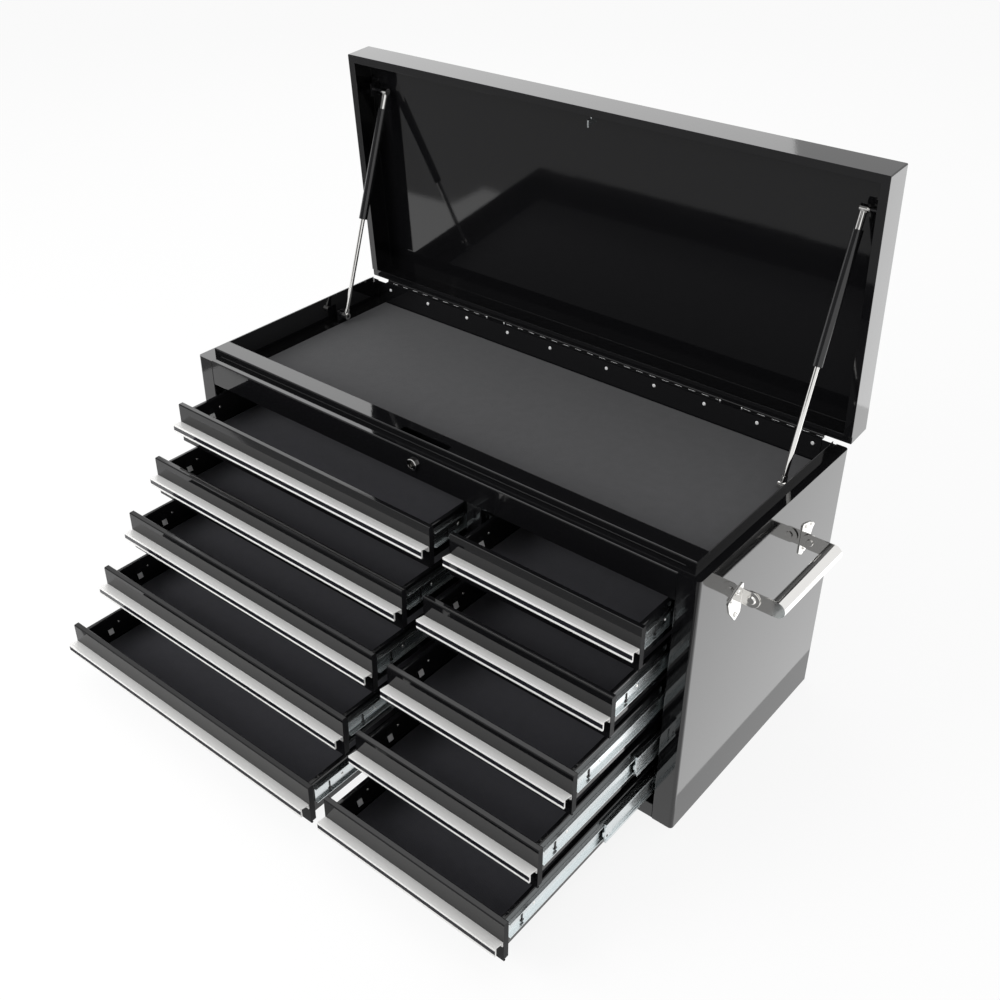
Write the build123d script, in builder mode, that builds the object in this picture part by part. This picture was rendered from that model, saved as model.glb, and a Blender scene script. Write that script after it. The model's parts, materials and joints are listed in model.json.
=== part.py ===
from build123d import *
import os
from math import atan2, cos, hypot, radians, sin

# A steel tool chest: ten drawers on telescopic slides under a foam-lined tray, and a lid on two gas struts.
# Millimetres, +X right, +Y to the back, +Z up. The origin is the centre of the case's underside.

# Case
case_width = 1041.0
case_depth = 447.0
case_height = 480.0
steel = 1.2
corner_radius = 6.0
bend = 1.4
post_width = 36.4
post_return = 20.0
rear_flange = 15.0
bottom_rail = 30.0
rail_return = 20.0

# Top panel, ledge and raised rim
lock_panel_height = 47.5
front_ledge = 22.0
side_ledge = 20.5
rim_height = 12.0
rim_strip = 33.0
catch_slot_length = 100.0
catch_slot_width = 13.6
catch_slot_inset = 2.2
catch_slot_corner = 3.0

# Tray and its foam mat
tray_depth = 46.0
tray_rim_rear_gap = 13.0
mat_thickness = 4.5
mat_side_gap = 20.5
mat_end_gap = 1.8
mat_corner = 2.0
mat_edge = 1.0
soft_gap = 0.3

# Centre divider between the two banks of drawers
divider_left = 110.0
divider_width = 29.0

# Drawers
drawers_in_bank = 5
drawer_pitch = 80.0
drawer_gap = 4.4
drawer_top_gap = 3.0
front_gap = 2.2
front_depth = 10.0
front_bottom_flange = 4.0
drawer_steel = 1.0
box_depth = 410.0
box_drop = 10.5
box_lift = 3.6
hem_width = 7.0
hem_return = 4.0
left_bank_open = (84.0, 149.0, 219.0, 287.5, 366.0)
right_bank_open = (76.0, 138.0, 221.0, 294.0, 366.0)

# Telescopic slides
slide_space = 12.7
slide_drop = 37.5
slide_setback = 20.0
slide_length = 400.0
slide_steel = 1.2
rail_height = 41.0
rail_lip = 8.5
running_gap = 0.3
seat_gap = 0.05
race_height = 4.5
race_width = 7.4
inner_lip = 5.5
inner_stage_travel = 220.0

# Pull rails along the drawer fronts
pull_drop = 35.0
pull_reach = 18.0
pull_rise = 3.0
pull_wall = 1.6
pull_lip_height = 16.0
pull_lip_thick = 3.4
pull_groove_height = 8.0
pull_groove_depth = 0.8
pull_foot = 9.0
pull_inset = 1.0

# Lid and its piano hinge
lid_height = 55.0
lid_depth = 448.4
lid_lip = 14.0
lid_edge_radius = 2.0
lid_open_angle = 85.34
hinge_pin_back = 5.5
hinge_length = 953.0
hinge_leaf = 1.0
knuckle_radius = 2.4
hinge_pin_radius = 1.2
pin_clearance = 0.05
knuckle_pairs = 36
knuckle_gap = 0.2
hinge_leaf_drop = 22.0
rivets_each_side = 5
hinge_rivet_start = 62.5
hinge_rivet_pitch = 100.0
hinge_rivet_drop = 11.0
rivet_head_radius = 3.2
rivet_head_height = 1.5
rivet_dome = 1.35
rivet_shank_radius = 2.0

# Lid catch
catch_x = 11.0
catch_thick = 2.5
catch_nose_from_front = 21.4
catch_nose_width = 10.0
catch_tip_height = 3.0
catch_arm_height = 12.0
catch_arm_width = 14.0
catch_foot = 16.0

# Gas struts
strut_x = 473.0
strut_foot_y = 324.4
strut_foot_above_tray = 19.0
strut_head_v = 375.5
strut_head_w = 39.6
cylinder_radius = 8.0
cylinder_wall = 1.2
cylinder_head_gap = 31.0
cylinder_length = 207.0
gland_thick = 4.0
rod_radius = 4.0
piston_radius = 6.4
piston_length = 6.0
ferrule_radius = 5.4
ferrule_length = 15.0
eye_radius = 6.5
eye_width = 12.0
stud_radius = 3.0
stud_collar_radius = 5.0
stud_collar = 3.0
bracket_steel = 2.0
foot_bracket_x = 487.0
foot_bracket_length = 36.0
foot_bracket_foot = 11.0
head_bracket_x = 503.0
head_bracket_length = 34.0
head_bracket_foot = 14.0
head_stud_start = 482.5
head_ear_half_length = 12.0
head_ear_below_stud = 9.0
foot_ear_half_length = 10.0
foot_ear_above_stud = 10.0

# Lock
lock_flange_radius = 10.0
lock_flange = 5.0
lock_flange_edge = 1.0
lock_barrel_radius = 8.0
lock_barrel_length = 20.0
lock_core_radius = 6.0
lock_drop = 21.0
lock_cam_length = 20.0
lock_cam_width = 10.0
lock_cam_thick = 2.0
key_slot_width = 1.6
key_slot_height = 8.0
key_slot_depth = 3.0

# Lift handles
handle_front_y = 132.0
handle_rear_y = 311.0
handle_pivot_height = 381.0
handle_pivot_out = 17.5
handle_reach = 56.5
handle_half_height = 13.5
handle_steel = 2.0
grip_wall = 1.6
grip_slot = 7.0
pivot_radius = 4.0
pivot_head_radius = 7.5
pivot_head = 3.0
pivot_head_slope = 30.0
pivot_rivet_radius = 5.5
pivot_rivet_head = 1.5

# Leaf plates of the handles: distance outward from the ear, and height above the pivot
leaf_steel = 2.0
leaf_corner = 4.0
leaf_outline = ((0, 26), (22, 19), (42, 8), (34, -14), (14, -39), (0, -30))
leaf_screws = ((33, 9), (14, 14), (15, -27))
screw_head_radius = 4.6
screw_head = 2.6
screw_head_slope = 25.0

# Places worked out from the sizes above
front = -case_depth / 2
back = case_depth / 2
half_width = case_width / 2
opening_half = half_width - post_width
opening_top = case_height - lock_panel_height
tray_half = half_width - side_ledge
rim_top = case_height + rim_height
tray_front = front + front_ledge + rim_strip
tray_back = back - 2 * steel
tray_floor = case_height - tray_depth
divider_right = divider_left + divider_width
pin_y = back + hinge_pin_back
pin_z = case_height + knuckle_radius
drawer_height = drawer_pitch - drawer_gap
slide_front = front + slide_setback
open_angle = radians(lid_open_angle)


def across(v, w):
    """Y and Z of a point of the open lid: v from the hinge pin to the lid's front edge, w up to its skin."""
    y = pin_y - v * cos(open_angle) + w * sin(open_angle)
    z = pin_z + v * sin(open_angle) + w * cos(open_angle)
    return (y, z)


# The open lid's own plane: Y runs from the hinge pin to the lid's front edge and Z from its rim to its skin.
lid_plane = Plane(
    origin=(0, pin_y, pin_z),
    x_dir=(-1, 0, 0),
    z_dir=(0, sin(open_angle), cos(open_angle)),
)
lid_up = Axis(lid_plane.origin, lid_plane.z_dir)


def block(low, high, mode=Mode.ADD):
    """A box given by its two opposite corners."""
    size = [b - a for a, b in zip(low, high)]
    with Locations(tuple(low)):
        Box(*size, align=(Align.MIN, Align.MIN, Align.MIN), mode=mode)


def mirrored(side, near, far):
    """The two X limits, lowest first, of a span that lies between near and far from the middle."""
    return sorted((side * near, side * far))


def write(builder, name):
    builder.part.label = name
    export_step(builder.part, f"parts/{name}.step")


# Case panels


def side_panel(side):
    """Outer skin with its front post and rear flange folded in, and the ledge that the lid closes over."""
    skin = half_width - steel / 2
    post = opening_half + steel / 2
    run = (
        (side * (half_width - rear_flange), back - steel / 2),
        (side * skin, back - steel / 2),
        (side * skin, front + steel / 2),
        (side * post, front + steel / 2),
        (side * post, front + post_return),
    )
    fold = corner_radius - steel / 2
    ledge_x = mirrored(side, tray_half, half_width)
    corner_x = mirrored(side, opening_half, half_width)
    with BuildPart() as panel:
        with BuildSketch():
            with BuildLine():
                FilletPolyline(*run, radius=(fold, fold, bend))
            trace(line_width=steel)
        extrude(amount=case_height)
        with BuildSketch(Plane.XY.offset(case_height - steel)):
            with Locations((sum(ledge_x) / 2, 0)):
                Rectangle(side_ledge, case_depth)
            with Locations((sum(corner_x) / 2, front + front_ledge / 2)):
                Rectangle(post_width, front_ledge)
            outer = vertices().group_by(Axis.X)[-1 if side > 0 else 0]
            fillet(outer, radius=corner_radius)
        extrude(amount=steel)
    return panel


def back_panel():
    width = half_width - corner_radius
    with BuildPart() as panel:
        block((-width, back - 2 * steel, steel), (width, back - steel, case_height - steel))
    return panel


def base_pan():
    """Floor of the case, with the bottom rail folded up in front."""
    run = (
        (front + rail_return, bottom_rail - steel / 2),
        (front + steel / 2, bottom_rail - steel / 2),
        (front + steel / 2, steel / 2),
        (back - steel, steel / 2),
    )
    width = half_width - steel
    with BuildPart() as pan:
        with BuildSketch(Plane.YZ.offset(-opening_half)):
            with BuildLine():
                FilletPolyline(*run, radius=bend)
            trace(line_width=steel)
        extrude(amount=2 * opening_half)
        for side in (-1, 1):
            low, high = mirrored(side, opening_half, width)
            block((low, front + post_return, 0), (high, back - steel, steel))
        rear_corners = pan.edges().filter_by(Axis.Z).group_by(Axis.Y)[-1]
        fillet(rear_corners, radius=corner_radius - steel)
    return pan


def front_top_panel():
    """Lock panel, front ledge and raised rim, with the slot that takes the lid's catch."""
    riser = front + front_ledge + steel / 2
    top = rim_top - steel / 2
    run = (
        (front + rail_return, opening_top + steel / 2),
        (front + steel / 2, opening_top + steel / 2),
        (front + steel / 2, case_height - steel / 2),
        (riser, case_height - steel / 2),
        (riser, top),
        (tray_front, top),
    )
    rim = (
        (riser, case_height),
        (riser, top),
        (tray_front, top),
    )
    slot_y = front + front_ledge + catch_slot_inset + catch_slot_width / 2
    lock_z = case_height - lock_drop
    with BuildPart() as panel:
        with BuildSketch(Plane.YZ.offset(-opening_half)):
            with BuildLine():
                FilletPolyline(*run, radius=bend)
            trace(line_width=steel)
        extrude(amount=2 * opening_half)
        with BuildSketch(Plane.YZ.offset(-tray_half)):
            with BuildLine():
                FilletPolyline(*rim, radius=bend)
            trace(line_width=steel)
        extrude(amount=2 * tray_half)
        for side in (-1, 1):
            low, high = mirrored(side, tray_half - steel, tray_half)
            block((low, front + front_ledge + bend, case_height), (high, tray_front, rim_top))
        with BuildSketch(Plane.XY.offset(rim_top)):
            with Locations((0, slot_y)):
                RectangleRounded(catch_slot_length, catch_slot_width, catch_slot_corner)
        extrude(amount=-2 * steel, mode=Mode.SUBTRACT)
        with BuildSketch(Plane.XZ.offset(-front)):
            with Locations((0, lock_z)):
                Circle(lock_barrel_radius + pin_clearance)
        extrude(amount=-2 * steel, mode=Mode.SUBTRACT)
    return panel


def center_divider():
    """Channel between the two banks of drawers, whose webs carry the inner slides."""
    run = (
        (divider_left + steel / 2, tray_back),
        (divider_left + steel / 2, front + steel / 2),
        (divider_right - steel / 2, front + steel / 2),
        (divider_right - steel / 2, tray_back),
    )
    with BuildPart() as divider:
        with BuildSketch(Plane.XY.offset(bottom_rail)):
            with BuildLine():
                FilletPolyline(*run, radius=bend)
            trace(line_width=steel)
        extrude(amount=opening_top - bottom_rail)
    return divider


def slide_support_panels():
    with BuildPart() as supports:
        for side in (-1, 1):
            low, high = mirrored(side, opening_half, opening_half + steel)
            block((low, front + post_return, steel), (high, tray_back, opening_top))
    return supports


def tray_pan():
    """Open pan under the lid: its side walls rise above the ledge, its rear wall stops level with it."""
    floor = tray_floor - steel
    rear = tray_back - tray_rim_rear_gap
    with BuildPart() as pan:
        block((-tray_half, tray_front, floor), (tray_half, tray_back, rim_top))
        block(
            (-tray_half + steel, tray_front + steel, tray_floor),
            (tray_half - steel, tray_back - steel, rim_top),
            Mode.SUBTRACT,
        )
        block((-tray_half, rear, case_height), (tray_half, tray_back, rim_top), Mode.SUBTRACT)
    return pan


def tray_mat():
    """Foam mat on the tray floor."""
    half = tray_half - steel - mat_side_gap
    length = tray_back - tray_front - 2 * steel - 2 * mat_end_gap
    middle = (tray_back + tray_front) / 2
    with BuildPart() as mat:
        with BuildSketch(Plane.XY.offset(tray_floor + soft_gap)):
            with Locations((0, middle)):
                RectangleRounded(2 * half, length, mat_corner)
        extrude(amount=mat_thickness)
        fillet(mat.faces().sort_by(Axis.Z)[-1].edges(), radius=mat_edge)
    return mat


# Slides: u runs from the support towards the drawer box


def slide_places():
    """The support face of each slide and the side its drawer lies on, for one drawer of each bank."""
    return {
        "left": ((-opening_half, 1), (divider_left, -1)),
        "right": ((divider_right, 1), (opening_half, -1)),
    }


def slide_height(row):
    return opening_top - drawer_top_gap - row * drawer_pitch - slide_drop


def slide_member(face, toward, u_web, u_lip, half, lip, y, z):
    """One rail of a slide, from y to the back, half above and below z: a web with a lip on each edge."""
    web = sorted(face + toward * u for u in u_web)
    edge = sorted(face + toward * u for u in u_lip)
    y_end = y + slide_length
    block((web[0], y, z - half), (web[1], y_end, z + half))
    block((edge[0], y, z + half - lip), (edge[1], y_end, z + half))
    block((edge[0], y, z - half), (edge[1], y_end, z - half + lip))


rail_half = rail_height / 2
middle_half = rail_half - slide_steel - running_gap
inner_half = middle_half - race_height - running_gap
middle_web = ((slide_space - slide_steel) / 2 - running_gap, (slide_space + slide_steel) / 2 - running_gap)
middle_race = (sum(middle_web) / 2 - race_width / 2, sum(middle_web) / 2 + race_width / 2)


def case_slide_rails():
    """Outer rails, two for each drawer, on the supports and the divider."""
    with BuildPart() as rails:
        for bank in slide_places().values():
            for face, toward in bank:
                for row in range(drawers_in_bank):
                    z = slide_height(row)
                    slide_member(
                        face, toward, (0, slide_steel), (0, rail_lip), rail_half, slide_steel, slide_front, z
                    )
    return rails


def slide_middle(bank, row, shift):
    """The two middle rails of one drawer, with the rolled races that the balls run in."""
    y = slide_front - shift
    z = slide_height(row)
    with BuildPart() as rails:
        for face, toward in slide_places()[bank]:
            slide_member(face, toward, middle_web, middle_race, middle_half, race_height, y, z)
    return rails


# Drawers


def bank_span(bank):
    """Left and right face of the support that each side of a drawer runs on."""
    (left, _), (right, _) = slide_places()[bank]
    return left, right


def drawer(bank, row, out):
    """Sheet steel drawer: folded hollow front, box with hemmed sides and the two inner slide rails."""
    left, right = bank_span(bank)
    top = opening_top - drawer_top_gap - row * drawer_pitch
    bottom = top - drawer_height
    face = front - out
    wall = drawer_steel
    box_left = left + slide_space
    box_right = right - slide_space
    box_top = top - box_drop
    box_bottom = bottom + box_lift
    box_front = face + front_depth
    box_back = box_front + box_depth
    front_left = left + front_gap
    front_right = right - front_gap
    front_run = (
        (face + front_depth - wall / 2, box_bottom),
        (face + front_depth - wall / 2, top - wall / 2),
        (face + wall / 2, top - wall / 2),
        (face + wall / 2, bottom + wall / 2),
        (face + front_bottom_flange, bottom + wall / 2),
    )
    hem_low = box_top - hem_return
    slide_outer = slide_space - seat_gap
    inner_web = (slide_outer - slide_steel, slide_outer)
    inner_edge = (slide_outer - inner_lip, slide_outer)
    slide_y = slide_front - out
    slide_z = slide_height(row)
    box_run = (
        (box_left + hem_width - wall / 2, hem_low),
        (box_left + hem_width - wall / 2, box_top - wall / 2),
        (box_left + wall / 2, box_top - wall / 2),
        (box_left + wall / 2, box_bottom + wall / 2),
        (box_right - wall / 2, box_bottom + wall / 2),
        (box_right - wall / 2, box_top - wall / 2),
        (box_right - hem_width + wall / 2, box_top - wall / 2),
        (box_right - hem_width + wall / 2, hem_low),
    )
    with BuildPart() as body:
        with BuildSketch(Plane.YZ.offset(front_left)):
            with BuildLine():
                FilletPolyline(*front_run, radius=bend)
            trace(line_width=wall)
        extrude(amount=front_right - front_left)
        for low in (front_left, front_right - wall):
            block((low, face + wall / 2, box_bottom), (low + wall, box_front - wall / 2, top - wall / 2))
        with BuildSketch(Plane.XZ.offset(-box_front + wall)):
            with BuildLine():
                FilletPolyline(*box_run, radius=bend)
            trace(line_width=wall)
        extrude(amount=-box_depth - wall)
        block((box_left, box_back - wall, box_bottom), (box_right, box_back, box_top))
        for support, toward in slide_places()[bank]:
            slide_member(support, toward, inner_web, inner_edge, inner_half, slide_steel, slide_y, slide_z)
    return body


def pull(bank, row, out):
    """Extruded rail along the drawer front: a web reaching forward and a lip hanging from it."""
    left, right = bank_span(bank)
    top = opening_top - drawer_top_gap - row * drawer_pitch - pull_drop
    face = front - out
    tip = face - pull_reach
    lip_top = top + pull_rise
    lip_bottom = lip_top - pull_lip_height
    groove_top = lip_top - (pull_lip_height - pull_groove_height) / 2
    low_x = left + front_gap + pull_inset
    high_x = right - front_gap - pull_inset
    with BuildPart() as rail:
        with BuildSketch(Plane.YZ.offset(low_x)):
            with BuildLine():
                Polyline(
                    (face, top),
                    (tip, lip_top),
                    (tip, groove_top),
                    (tip + pull_groove_depth, groove_top),
                    (tip + pull_groove_depth, groove_top - pull_groove_height),
                    (tip, groove_top - pull_groove_height),
                    (tip, lip_bottom),
                    (tip + pull_lip_thick, lip_bottom),
                    (tip + pull_lip_thick, lip_top - pull_wall),
                    (face - pull_wall, top - pull_wall),
                    (face - pull_wall, top - pull_foot),
                    (face, top - pull_foot),
                    close=True,
                )
            make_face()
        extrude(amount=high_x - low_x)
    return rail


# Piano hinge


knuckle = hinge_length / (2 * knuckle_pairs)
knuckle_reach = knuckle_radius + knuckle_gap


def knuckle_slots(first):
    """The X limits of every second knuckle, with a little play, for the other leaf's knuckles to turn in."""
    for index in range(first, 2 * knuckle_pairs, 2):
        low = -hinge_length / 2 + index * knuckle
        yield low - knuckle_gap, low + knuckle + knuckle_gap


def rivet_places():
    """Centres of the hinge rivets, seen from the front."""
    z = case_height - hinge_rivet_drop
    for side in (-1, 1):
        for index in range(rivets_each_side):
            yield side * (hinge_rivet_start + index * hinge_rivet_pitch), z


def hinge_case_leaf():
    """Leaf riveted inside the tray's rear wall, folded over its top and rolled into knuckles."""
    face = tray_back - steel
    y_low = pin_y - knuckle_reach
    y_high = pin_y + knuckle_reach
    with BuildPart() as leaf:
        with BuildSketch(Plane.YZ.offset(-hinge_length / 2)):
            with Locations((face - hinge_leaf / 2, case_height - hinge_leaf_drop / 2)):
                Rectangle(hinge_leaf, hinge_leaf_drop)
            with Locations(((face - hinge_leaf + pin_y) / 2, case_height + hinge_leaf / 2)):
                Rectangle(pin_y - face + hinge_leaf, hinge_leaf)
            with Locations((pin_y, pin_z)):
                Circle(knuckle_radius)
                Circle(hinge_pin_radius + pin_clearance, mode=Mode.SUBTRACT)
        extrude(amount=hinge_length)
        for low, high in knuckle_slots(1):
            block((low, y_low, case_height), (high, y_high, pin_z + knuckle_reach), Mode.SUBTRACT)
        with BuildSketch(Plane.XZ.offset(-face + hinge_leaf)):
            with Locations(*rivet_places()):
                Circle(rivet_shank_radius + pin_clearance)
        extrude(amount=-hinge_leaf, mode=Mode.SUBTRACT)
    return leaf


def hinge_lid_leaf():
    """Leaf under the lid's rear lip, with the knuckles that fill the case leaf's gaps."""
    with BuildPart() as leaf:
        with BuildSketch(lid_plane):
            with Locations((0, lid_lip / 2)):
                Rectangle(hinge_length, lid_lip)
        extrude(amount=knuckle_radius)
        with BuildSketch(lid_plane):
            with Locations((0, lid_lip / 2)):
                Rectangle(hinge_length, lid_lip)
        extrude(amount=knuckle_radius - hinge_leaf, mode=Mode.SUBTRACT)
        with BuildSketch(Plane.YZ.offset(-hinge_length / 2)):
            with Locations((pin_y, pin_z)):
                Circle(knuckle_radius)
        extrude(amount=hinge_length)
        with BuildSketch(Plane.YZ.offset(-hinge_length / 2)):
            with Locations((pin_y, pin_z)):
                Circle(hinge_pin_radius + pin_clearance)
        extrude(amount=hinge_length, mode=Mode.SUBTRACT)
        reach = knuckle_reach
        for low, high in knuckle_slots(0):
            block((low, pin_y - reach, pin_z - reach), (high, pin_y + reach, pin_z + reach), Mode.SUBTRACT)
    return leaf


def hinge_pin():
    with BuildPart() as pin:
        with BuildSketch(Plane.YZ.offset(-hinge_length / 2)):
            with Locations((pin_y, pin_z)):
                Circle(hinge_pin_radius)
        extrude(amount=hinge_length)
    return pin


def hinge_rivet_row():
    """Round-headed rivets that hold the case leaf."""
    face = tray_back - steel - hinge_leaf
    with BuildPart() as row:
        with BuildSketch(Plane.XZ.offset(-face)):
            with Locations(*rivet_places()):
                Circle(rivet_head_radius)
        extrude(amount=rivet_head_height)
        fillet(row.faces().group_by(Axis.Y)[0].edges(), radius=rivet_dome)
        with BuildSketch(Plane.XZ.offset(-face)):
            with Locations(*rivet_places()):
                Circle(rivet_shank_radius)
        extrude(amount=-hinge_leaf)
    return row


# Lid, drawn in its own plane


def lid_shell():
    """Pressed steel lid: a shallow pan with a lip turned in around its rim, raised at the hinge."""
    rim = knuckle_radius
    with BuildPart(lid_plane) as lid:
        with BuildSketch(lid_plane):
            with Locations((0, lid_depth / 2)):
                RectangleRounded(case_width, lid_depth, lid_edge_radius)
        extrude(amount=lid_height)
        fillet(lid.faces().sort_by(lid_up)[-1].edges(), radius=lid_edge_radius)
        block(
            (-half_width + steel, steel, steel),
            (half_width - steel, lid_depth - steel, lid_height - steel),
            Mode.SUBTRACT,
        )
        block(
            (-half_width + lid_lip, lid_lip, 0),
            (half_width - lid_lip, lid_depth - lid_lip, steel),
            Mode.SUBTRACT,
        )
        block((-half_width, 0, 0), (half_width, lid_lip, rim), Mode.SUBTRACT)
        block(
            (-half_width + lid_edge_radius, lid_edge_radius / 2, rim),
            (half_width - lid_edge_radius, lid_lip, rim + steel),
        )
    return lid


def lid_catch():
    """Bent hook inside the lid's front wall, whose nose drops through the slot in the rim."""
    wall = lid_depth - steel
    nose = lid_depth - catch_nose_from_front
    arm_low = nose - catch_nose_width
    with BuildPart(lid_plane) as catch:
        block(
            (-catch_x - catch_foot, wall - catch_thick, catch_arm_height),
            (-catch_x, wall, catch_arm_height + catch_arm_width),
        )
        block(
            (-catch_x - catch_thick, arm_low, catch_arm_height),
            (-catch_x, wall, catch_arm_height + catch_arm_width),
        )
        block(
            (-catch_x - catch_thick, arm_low, catch_tip_height),
            (-catch_x, nose, catch_arm_height),
        )
        block(
            (-catch_x - catch_thick, arm_low - catch_thick, catch_tip_height),
            (-catch_x, arm_low, catch_tip_height + catch_thick),
        )
    return catch


def strut_lid_brackets():
    """Angle brackets on the lid's skin, each with the stud that a strut's upper eye stands beside."""
    top = lid_height - steel
    v = strut_head_v
    w = strut_head_w
    with BuildPart(lid_plane) as brackets:
        for side in (-1, 1):
            foot = mirrored(side, head_bracket_x - bracket_steel, head_bracket_x + head_bracket_foot)
            ear = mirrored(side, head_bracket_x - bracket_steel, head_bracket_x)
            low = v - head_bracket_length / 2
            high = v + head_bracket_length / 2
            block((foot[0], low, top - bracket_steel), (foot[1], high, top))
            block(
                (ear[0], v - head_ear_half_length, w - head_ear_below_stud),
                (ear[1], v + head_ear_half_length, top),
            )
            stud = Plane(
                origin=lid_plane.from_local_coords((side * head_stud_start, v, w)),
                z_dir=(-side, 0, 0),
            )
            with BuildSketch(stud):
                Circle(stud_radius)
            extrude(amount=head_bracket_x - bracket_steel - head_stud_start)
            with BuildSketch(stud.offset(head_bracket_x - bracket_steel - head_stud_start - stud_collar)):
                Circle(stud_collar_radius)
            extrude(amount=stud_collar)
    return brackets


# Gas struts

strut_foot = (front + strut_foot_y, tray_floor + strut_foot_above_tray)
strut_head = across(strut_head_v, strut_head_w)
strut_length = hypot(strut_head[0] - strut_foot[0], strut_head[1] - strut_foot[1])
strut_angle = atan2(strut_head[1] - strut_foot[1], strut_head[0] - strut_foot[0])


def strut_plane(side):
    """Plane whose Z runs along the strut from its lower eye to its upper eye."""
    return Plane(
        origin=(side * strut_x, *strut_foot),
        x_dir=(side, 0, 0),
        z_dir=(0, cos(strut_angle), sin(strut_angle)),
    )


def strut_case_brackets():
    """Angle brackets on the tray floor, each with the stud that carries a strut's lower eye."""
    y, z = strut_foot
    with BuildPart() as brackets:
        for side in (-1, 1):
            inner = foot_bracket_x - bracket_steel
            foot = mirrored(side, inner, foot_bracket_x + foot_bracket_foot)
            ear = mirrored(side, inner, foot_bracket_x)
            low = y - foot_bracket_length / 2
            high = y + foot_bracket_length / 2
            block((foot[0], low, tray_floor), (foot[1], high, tray_floor + bracket_steel))
            block(
                (ear[0], y - foot_ear_half_length, tray_floor),
                (ear[1], y + foot_ear_half_length, z + foot_ear_above_stud),
            )
            stud = Plane(origin=(side * (strut_x - eye_width / 2), y, z), z_dir=(side, 0, 0))
            with BuildSketch(stud):
                Circle(stud_radius)
            extrude(amount=inner - strut_x + eye_width / 2)
            with BuildSketch(stud.offset(eye_width + running_gap)):
                Circle(stud_collar_radius)
            extrude(amount=inner - strut_x - eye_width / 2 - running_gap)
    return brackets


def strut_rod(side):
    """Rod with a piston on its tip, and a ferrule and an eye at the foot."""
    tip = strut_length - cylinder_head_gap - cylinder_length + gland_thick + running_gap + piston_length
    base = strut_plane(side)
    eye = Plane(origin=(side * (strut_x - eye_width / 2), *strut_foot), z_dir=(side, 0, 0))
    with BuildPart() as rod:
        with BuildSketch(eye):
            Circle(eye_radius)
        extrude(amount=eye_width)
        with BuildSketch(base):
            Circle(ferrule_radius)
        extrude(amount=ferrule_length)
        with BuildSketch(base):
            Circle(rod_radius)
        extrude(amount=tip)
        with BuildSketch(base.offset(tip - piston_length)):
            Circle(piston_radius)
        extrude(amount=piston_length)
        with BuildSketch(eye):
            Circle(stud_radius + pin_clearance)
        extrude(amount=eye_width, mode=Mode.SUBTRACT)
    return rod


def strut_cylinder(side):
    """Cylinder with a gland round the rod, and a cap, a neck and an eye at the head."""
    base = strut_plane(side)
    top = strut_length - cylinder_head_gap
    bottom = top - cylinder_length
    bore = cylinder_radius - cylinder_wall
    eye = Plane(origin=(side * (strut_x - eye_width / 2), *strut_head), z_dir=(side, 0, 0))
    reach = head_stud_start - running_gap - strut_x + eye_width / 2
    with BuildPart() as cylinder:
        with BuildSketch(base.offset(bottom)):
            Circle(cylinder_radius)
        extrude(amount=cylinder_length)
        with BuildSketch(base.offset(bottom + gland_thick)):
            Circle(bore)
        extrude(amount=cylinder_length - 2 * gland_thick, mode=Mode.SUBTRACT)
        with BuildSketch(base.offset(bottom)):
            Circle(rod_radius + pin_clearance)
        extrude(amount=gland_thick, mode=Mode.SUBTRACT)
        with BuildSketch(base.offset(top)):
            Circle(ferrule_radius)
        extrude(amount=cylinder_head_gap)
        with BuildSketch(eye):
            Circle(eye_radius)
        extrude(amount=eye_width)
        with BuildSketch(eye):
            Circle(rod_radius)
        extrude(amount=reach)
    return cylinder


# Lock


def lock_housing():
    """Flanged barrel in the lock panel."""
    face = Plane.XZ.offset(-front)
    place = (0, case_height - lock_drop)
    with BuildPart() as housing:
        with BuildSketch(face):
            with Locations(place):
                Circle(lock_flange_radius)
        extrude(amount=lock_flange)
        fillet(housing.faces().sort_by(Axis.Y)[0].edges(), radius=lock_flange_edge)
        with BuildSketch(face):
            with Locations(place):
                Circle(lock_barrel_radius)
        extrude(amount=-lock_barrel_length)
        with BuildSketch(face.offset(lock_flange)):
            with Locations(place):
                Circle(lock_core_radius + pin_clearance)
        extrude(amount=-lock_flange - lock_barrel_length, mode=Mode.SUBTRACT)
    return housing


def lock_core():
    """Turning plug with a key slot, and the cam behind it."""
    z = case_height - lock_drop
    face = Plane.XZ.offset(-front + lock_flange)
    length = lock_flange + lock_barrel_length + running_gap
    with BuildPart() as core:
        with BuildSketch(face):
            with Locations((0, z)):
                Circle(lock_core_radius)
        extrude(amount=-length)
        with BuildSketch(face):
            with Locations((0, z)):
                Rectangle(key_slot_width, key_slot_height)
        extrude(amount=-key_slot_depth, mode=Mode.SUBTRACT)
        with BuildSketch(face.offset(-length)):
            with Locations((0, z)):
                SlotCenterToCenter(lock_cam_length - lock_cam_width, lock_cam_width, rotation=90)
        extrude(amount=-lock_cam_thick)
    return core


# Lift handles


def handle_arms():
    """Place of each arm along Y, and the side of it that its bracket stands on."""
    return ((front + handle_front_y, -1), (front + handle_rear_y, 1))


def leaf_points(root, outward, places):
    """Turns places on a leaf plate into points of the case side, for the ear at root."""
    return [(root + outward * along, handle_pivot_height + up) for along, up in places]


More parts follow.
